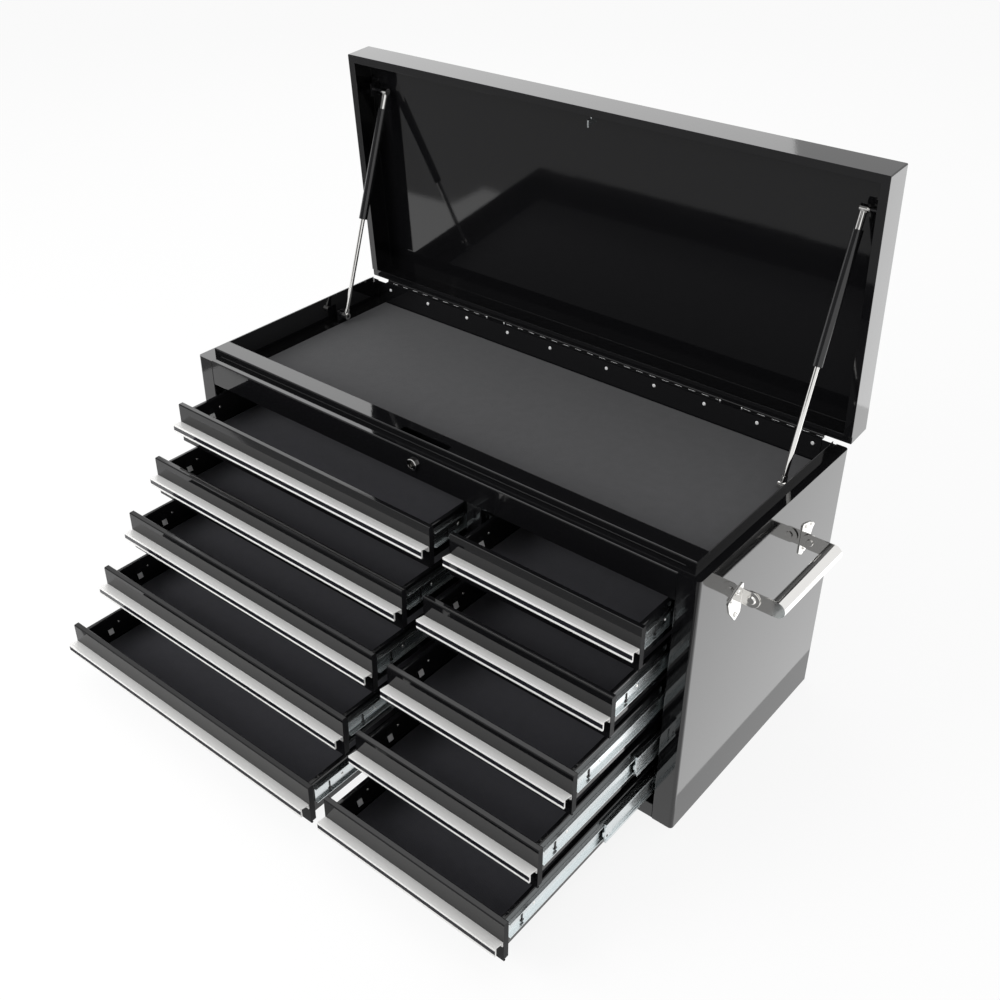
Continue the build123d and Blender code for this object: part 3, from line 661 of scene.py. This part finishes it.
class CHEST_OT_drawers(Piece, bpy.types.Operator):
    """Drawer boxes and fronts, their foam mats, wall clips and inner slide rails."""

    bl_idname = "chest.drawers"
    bl_label = "Drawers"

    def build(self, sizes):
        for bank in BANKS:
            for row in ROWS:
                self.one_drawer(sizes, bank, row)

    def one_drawer(self, sizes, bank, row):
        node = f"drawer_{bank}_{row}"
        body = f"{bank}_drawer_{row}"
        box = node_bmesh(node)
        box.verts.index_update()
        shell = max(islands(box), key=len)
        low = Vector(map(min, zip(*(v.co for v in shell))))
        high = Vector(map(max, zip(*(v.co for v in shell))))
        inside = {v.index for v in shell}
        rails = box.copy()
        reach = [v.co.x for v in box.verts if v.index not in inside]
        walls = (min(reach) + RAIL_REACH, max(reach) - RAIL_REACH)
        bmesh.ops.delete(box, geom=[v for v in box.verts if v.index not in inside], context="VERTS")
        bmesh.ops.delete(rails, geom=[v for v in rails.verts if v.index in inside], context="VERTS")
        # The drawer box takes the shaded, less reflecting copy of the paint; its rails take zinc
        for bm, name, finish_name, slot, edge in (
            (box, "drawer_box", "front", "black_paint", sizes.edge),
            (rails, "drawer_rails", "zinc", "zinc_rail", RAIL_EDGE),
        ):
            piece = finish_mesh(bm, f"{name}_{bank}_{row}", finish_name, edge)
            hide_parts(node)
            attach(piece, body)
            if name == "drawer_box":
                # Faces at the far ends of the drawer box take the painted shade black
                piece.data.materials.append(material("end_shade"))
                for face in piece.data.polygons:
                    face.material_index = int(not low.x + SHEET / 2 < face.center.x < high.x - SHEET / 2)
        self.fittings(sizes, bank, row, body, low, high, *walls)

    def fittings(self, sizes, bank, row, body, low, high, wall_low, wall_high):
        """Mat on the floor, clips in the walls, and levers and rivets on the rails."""
        front = low.y + FRONT_DEPTH
        back = front + BOX_DEPTH
        floor = low.z + BOX_LIFT + SHEET + MAT_SEAT
        gap = SHEET + sizes.mat_gap
        mat = bmesh.new()
        box_part(
            mat,
            (wall_low + gap, front + sizes.mat_gap, floor),
            (wall_high - gap, back - gap, floor + sizes.mat_thickness),
        )
        liner = self.part(mat, f"drawer_mat_{bank}_{row}", "drawer_foam", body, "foam", MAT_EDGE)
        rail_z = high.z - RAIL_DROP
        clips = bmesh.new()
        windows = bmesh.new()
        dots = []
        for wall, inward in ((wall_low + SHEET, 1), (wall_high - SHEET, -1)):
            y = front + sizes.clip_back
            tab = [(wall + inward * across, rail_z + up) for across, up in CLIP_PROFILE]
            prism(clips, tab, 1, y, y + CLIP_LENGTH)
            corners = [(y + along, rail_z + up) for along, up in WINDOW]
            recess = sorted((wall, wall + inward * WINDOW_RELIEF))
            prism(windows, rounded(*corners, WINDOW_CORNER), 0, *recess)
            dots.append(((wall, y + WALL_RIVET[0], rail_z + WALL_RIVET[1]), (inward, 0, 0)))
        self.part(clips, f"drawer_clips_{bank}_{row}", "rivet", body, "white_rivet", FINE_EDGE)
        self.part(windows, f"drawer_clip_windows_{bank}_{row}", "cylinder", body, "black_steel")
        start = low.y + RAIL_SETBACK
        levers = bmesh.new()
        for web, outward in ((wall_low - SEAT - RAIL_SHEET, -1), (wall_high + SEAT + RAIL_SHEET, 1)):
            y = start + sizes.lever_back
            deep = sorted((web, web + outward * LEVER_RELIEF))
            for start_corner, end_corner in (LEVER_BAR, LEVER_FOOT):
                near = (deep[0], y + start_corner[0], rail_z + start_corner[1])
                far = (deep[1], y + end_corner[0], rail_z + end_corner[1])
                box_part(levers, near, far)
            dots.append(((web, start + sizes.rivet_back, rail_z), (outward, 0, 0)))
        self.part(levers, f"slide_levers_{bank}_{row}", "cylinder", body, "black_steel", FINE_EDGE)
        rivets = f"drawer_rivets_{bank}_{row}"
        heads(rivets, body, "bright_steel", "bright", dots, sizes.rivet_radius, RIVET_RELIEF)


class CHEST_OT_pulls(Piece, bpy.types.Operator):
    """Pull rails with their dark inserts."""

    bl_idname = "chest.pulls"
    bl_label = "Pull rails"

    def build(self, sizes):
        for bank in BANKS:
            for row in ROWS:
                node = f"pull_{bank}_{row}"
                body = f"{bank}_drawer_{row}"
                dress_node(node, f"pull_rail_{bank}_{row}", "aluminium", body, sizes.edge)
                low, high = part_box(node)
                middle = high.z - INSERT_DROP
                half = sizes.insert_height / 2
                strip = bmesh.new()
                box_part(
                    strip,
                    (low.x + INSERT_END, low.y + INSERT_FACE - sizes.insert_depth, middle - half),
                    (high.x - INSERT_END, low.y + INSERT_FACE, middle + half),
                )
                self.part(strip, f"pull_insert_{bank}_{row}", "insert", body, "black_paint")


class CHEST_OT_slides(Piece, bpy.types.Operator):
    """Middle and case rails of the slides, with the middle rails' front collars."""

    bl_idname = "chest.slides"
    bl_label = "Slides"

    def build(self, sizes):
        dress_node("case_slide_rails", "case_rails_plated", "zinc", "case", RAIL_EDGE)
        for bank in BANKS:
            for row in ROWS:
                node = f"slide_middle_{bank}_{row}"
                body = f"{bank}_slide_{row}"
                dress_node(node, f"middle_rails_{bank}_{row}", "zinc", body, RAIL_EDGE)
                self.collars(sizes, bank, row, body, *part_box(node))

    def collars(self, sizes, bank, row, body, low, high):
        """Plate with a tab and a small dark pin at the front of each middle rail."""
        middle = (low.z + high.z) / 2
        top = high.z - MIDDLE_LIP - COLLAR_GAP
        bottom = low.z + MIDDLE_LIP + COLLAR_GAP
        plates = bmesh.new()
        pins = []
        for web, outward in ((low.x + MIDDLE_INSET, -1), (high.x - MIDDLE_INSET, 1)):
            face = web + outward * COLLAR_SHEET
            plate = rounded((low.y, bottom), (low.y + sizes.collar_length, top), COLLAR_CORNER)
            prism(plates, plate, 0, *sorted((web, face)))
            corners = [(low.y + along, middle + up) for along, up in COLLAR_TAB]
            behind, before = COLLAR_TAB_DEPTH
            tab = sorted((web - outward * behind, web + outward * before))
            prism(plates, rounded(*corners, COLLAR_TAB_CORNER), 0, *tab)
            pins.append(((face, low.y + COLLAR_PIN[0], bottom + COLLAR_PIN[1]), (outward, 0, 0)))
        self.part(plates, f"slide_collars_{bank}_{row}", "zinc", body, "zinc_rail", FINE_EDGE)
        pin_name = f"collar_pins_{bank}_{row}"
        heads(pin_name, body, "black_steel", "cylinder", pins, COLLAR_PIN_RADIUS, COLLAR_PIN_RELIEF)


class CHEST_OT_tray(Piece, bpy.types.Operator):
    """Foam mat of the tray, the piano hinge and its rivets."""

    bl_idname = "chest.tray"
    bl_label = "Tray and hinge"

    def build(self, sizes):
        mat = dress_node("tray_mat", "tray_mat_foam", "foam", "case")
        dress_node("hinge_case_leaf", "hinge_leaf_case", "paint", "case")
        dress_node("hinge_lid_leaf", "hinge_leaf_lid", "paint", "lid")
        dress_node("hinge_pin", "hinge_pin_steel", "bright", "case")
        dress_node("hinge_rivets", "hinge_rivets_bright", "rivet", "case")
        self.cover_plates(sizes)

    def cover_plates(self, sizes):
        """Two small plates in front of the knuckles, each held by two rivets."""
        pin = Vector(next(j["pos_m"] for j in frame["joints"] if j["name"] == "lid_hinge"))
        face = pin.y - KNUCKLE_RADIUS - PLATE_GAP
        low = CASE_HEIGHT + PLATE_LIFT
        plates = bmesh.new()
        dots = []
        for start, end in HINGE_PLATES:
            outline = rounded((start, low), (end, low + PLATE_HEIGHT), PLATE_CORNER)
            prism(plates, outline, 1, face - sizes.plate_relief, face)
            for x in (start + PLATE_RIVET_INSET, end - PLATE_RIVET_INSET):
                dots.append(((x, face - sizes.plate_relief, low + PLATE_RIVET_LIFT), (0, -1, 0)))
        self.part(plates, "hinge_cover_plates", "paint", "case", "hinge_steel")
        heads("hinge_plate_rivets", "case", "white_rivet", "rivet", dots, *PLATE_RIVET)


class CHEST_OT_struts(Piece, bpy.types.Operator):
    """Gas struts: black cylinders with bright ends, ground rods and black brackets."""

    bl_idname = "chest.struts"
    bl_label = "Gas struts"

    def build(self, sizes):
        dress_node("strut_case_brackets", "strut_feet", "steel_black", "case", sizes.edge)
        dress_node("strut_lid_brackets", "strut_heads", "steel_black", "lid", sizes.edge)
        joints = {j["name"]: j for j in frame["joints"]}
        for name in BANKS:
            foot = Vector(joints[f"{name}_strut_swing"]["pos_m"])
            along = Vector(joints[f"{name}_strut_slide"]["axis"]).normalized()
            dress_node(f"{name}_strut_rod", f"{name}_rod_ground", "rod", f"{name}_rod")
            body = f"{name}_cylinder"
            piece = dress_node(f"{name}_strut_cylinder", f"{body}_black", "cylinder", body)
            piece.data.materials.append(material("steel"))
            reach = [(v.co - foot).dot(along) for v in piece.data.vertices]
            tube_top = max(reach) - CYLINDER_CAP
            for face in piece.data.polygons:
                distance = (face.center - foot).dot(along)
                face.material_index = 1 if distance > tube_top else 0


class CHEST_OT_lock(Piece, bpy.types.Operator):
    """Lock barrel and its turning core."""

    bl_idname = "chest.lock"
    bl_label = "Lock"

    def build(self, sizes):
        dress_node("lock_housing", "lock_barrel", "steel", "case", sizes.edge)
        dress_node("lock_core", "lock_plug", "steel", "lock")


class CHEST_OT_handles(Piece, bpy.types.Operator):
    """Lift handles with their brackets, pins and screws."""

    bl_idname = "chest.handles"
    bl_label = "Lift handles"

    def build(self, sizes):
        dress_node("handle_brackets", "handle_plates", "steel", "case", sizes.edge)
        dress_node("handle_pivot_pins", "handle_pins", "steel", "case", sizes.edge)
        dress_node("handle_screws", "handle_screw_heads", "bright", "case", sizes.edge)
        for name in BANKS:
            body = f"{name}_handle_swing"
            dress_node(f"{name}_handle", f"{name}_lift_handle", "steel", body, sizes.edge)


# Stage


class CHEST_OT_stage(Piece, bpy.types.Operator):
    """Floor, lights, surroundings and camera."""

    bl_idname = "chest.stage"
    bl_label = "Stage"

    def build(self, sizes):
        scene = bpy.context.scene
        scene.view_settings.view_transform = "Standard"
        self.floor()
        self.dark_cloth("dark_cloth", [(x, y, CLOTH_LEVEL) for x, y in DARK_CLOTH], 0.3)
        self.dark_cloth("dark_screen", DARK_SCREEN, 0.15)
        self.surroundings(scene)
        for settings in LAMPS:
            self.lamp(*settings)
        self.camera(scene)

    def dark_cloth(self, name, corners, strength):
        """Dark cloth before the chest, seen only as a reflection in the gloss paint and the metal."""
        bm = bmesh.new()
        bm.faces.new([bm.verts.new(corner) for corner in corners])
        cloth = new_object(bm, name)
        surface = bpy.data.materials.new(name)
        surface.use_nodes = True
        tree = surface.node_tree
        glow = add(tree, "ShaderNodeEmission", Strength=strength)
        link(tree, glow.outputs["Emission"], tree.nodes["Material Output"].inputs["Surface"])
        cloth.data.materials.append(surface)
        cloth.visible_camera = False
        cloth.visible_diffuse = False
        cloth.visible_transmission = False
        cloth.visible_shadow = False

    def seen(self, tree):
        """One for camera and glossy rays, nought for the others."""
        path = add(tree, "ShaderNodeLightPath")
        either = add(tree, "ShaderNodeMath", operation="MAXIMUM")
        link(tree, path.outputs["Is Camera Ray"], either.inputs[0])
        link(tree, path.outputs["Is Glossy Ray"], either.inputs[1])
        return either.outputs["Value"]

    def floor(self):
        """Pale floor that is seen as plain white, less the share that takes the chest's shadow."""
        bm = bmesh.new()
        bmesh.ops.create_grid(bm, x_segments=1, y_segments=1, size=FLOOR_REACH)
        bmesh.ops.translate(bm, verts=bm.verts, vec=(0, 0, FLOOR_LEVEL))
        floor = new_object(bm, "floor")
        surface, shader = new_material(
            "white_floor", Base_Color=FLOOR_COLOUR, Roughness=0.9, Specular_IOR_Level=0.0
        )
        tree = surface.node_tree
        glow = add(tree, "ShaderNodeEmission", Strength=1.0)
        share = add(tree, "ShaderNodeMath", operation="MULTIPLY")
        share.inputs[1].default_value = FLOOR_WHITE
        mix = add(tree, "ShaderNodeMixShader")
        link(tree, self.seen(tree), share.inputs[0])
        link(tree, share.outputs["Value"], mix.inputs["Fac"])
        link(tree, shader.outputs["BSDF"], mix.inputs[1])
        link(tree, glow.outputs["Emission"], mix.inputs[2])
        link(tree, mix.outputs["Shader"], tree.nodes["Material Output"].inputs["Surface"])
        floor.data.materials.append(surface)

    def surroundings(self, scene):
        """Even light all round, seen as plain white."""
        world = bpy.data.worlds.new("white_room")
        scene.world = world
        world.use_nodes = True
        tree = world.node_tree
        plain = tree.nodes["Background"]
        plain.inputs["Color"].default_value = (1, 1, 1, 1)
        plain.inputs["Strength"].default_value = ROOM_LIGHT
        white = add(tree, "ShaderNodeBackground", Strength=1.0)
        white.inputs["Color"].default_value = (1, 1, 1, 1)
        mix = add(tree, "ShaderNodeMixShader")
        link(tree, self.seen(tree), mix.inputs["Fac"])
        link(tree, plain.outputs["Background"], mix.inputs[1])
        link(tree, white.outputs["Background"], mix.inputs[2])
        link(tree, mix.outputs["Shader"], tree.nodes["World Output"].inputs["Surface"])

    def lamp(self, name, place, target, width, height, power, mirrored):
        """Area light turned to its target, shown in glossy surfaces only if it is mirrored."""
        data = bpy.data.lights.new(name, "AREA")
        data.shape = "RECTANGLE"
        data.size = width
        data.size_y = height
        data.energy = power
        lamp = bpy.data.objects.new(name, data)
        lamp.location = place
        lamp.rotation_euler = (Vector(target) - Vector(place)).to_track_quat("-Z", "Y").to_euler()
        lamp.visible_camera = False
        lamp.visible_glossy = mirrored
        bpy.context.scene.collection.objects.link(lamp)

    def camera(self, scene):
        """Camera solved from the photograph's corners, with its shifted image centre."""
        data = bpy.data.cameras.new("photo_camera")
        camera = bpy.data.objects.new("photo_camera", data)
        scene.collection.objects.link(camera)
        azimuth = radians(CAMERA_AZIMUTH)
        elevation = radians(CAMERA_ELEVATION)
        back = Vector((sin(azimuth) * cos(elevation), -cos(azimuth) * cos(elevation), sin(elevation)))
        turn = (-back).to_track_quat("-Z", "Y").to_matrix()
        roll = Matrix.Rotation(radians(CAMERA_ROLL), 3, back)
        camera.location = CAMERA_PLACE
        camera.rotation_euler = (roll @ turn).to_euler()
        data.sensor_width = SENSOR
        data.lens = SENSOR * FOCAL_PIXELS / PHOTO
        data.shift_x = (PHOTO / 2 - CENTRE_PIXEL[0]) / PHOTO
        data.shift_y = (CENTRE_PIXEL[1] - PHOTO / 2) / PHOTO
        data.clip_start, data.clip_end = CAMERA_CLIP
        scene.camera = camera


class CHEST_PT_panel(bpy.types.Panel):
    """Sizes, finishes and pieces of the chest."""

    bl_idname = "CHEST_PT_panel"
    bl_label = "Tool Chest"
    bl_space_type = "VIEW_3D"
    bl_region_type = "UI"
    bl_category = "Tool Chest"

    def draw(self, context):
        layout = self.layout
        for settings in (context.scene.chest_finish, context.scene.chest_sizes):
            for key in settings.__annotations__:
                layout.prop(settings, key)
        for operator in OPERATORS:
            layout.operator(operator.bl_idname)


OPERATORS = (
    CHEST_OT_case,
    CHEST_OT_lid,
    CHEST_OT_drawers,
    CHEST_OT_pulls,
    CHEST_OT_slides,
    CHEST_OT_tray,
    CHEST_OT_struts,
    CHEST_OT_lock,
    CHEST_OT_handles,
    CHEST_OT_stage,
)
CLASSES = (ChestFinish, ChestSizes, *OPERATORS, CHEST_PT_panel)


def register():
    for item in CLASSES:
        bpy.utils.register_class(item)
    bpy.types.Scene.chest_finish = PointerProperty(type=ChestFinish)
    bpy.types.Scene.chest_sizes = PointerProperty(type=ChestSizes)


def unregister():
    del bpy.types.Scene.chest_sizes
    del bpy.types.Scene.chest_finish
    for item in reversed(CLASSES):
        bpy.utils.unregister_class(item)


def main():
    register()
    for operator in OPERATORS:
        getattr(bpy.ops.chest, operator.bl_idname.split(".")[1])()


if __name__ == "__main__":
    main()
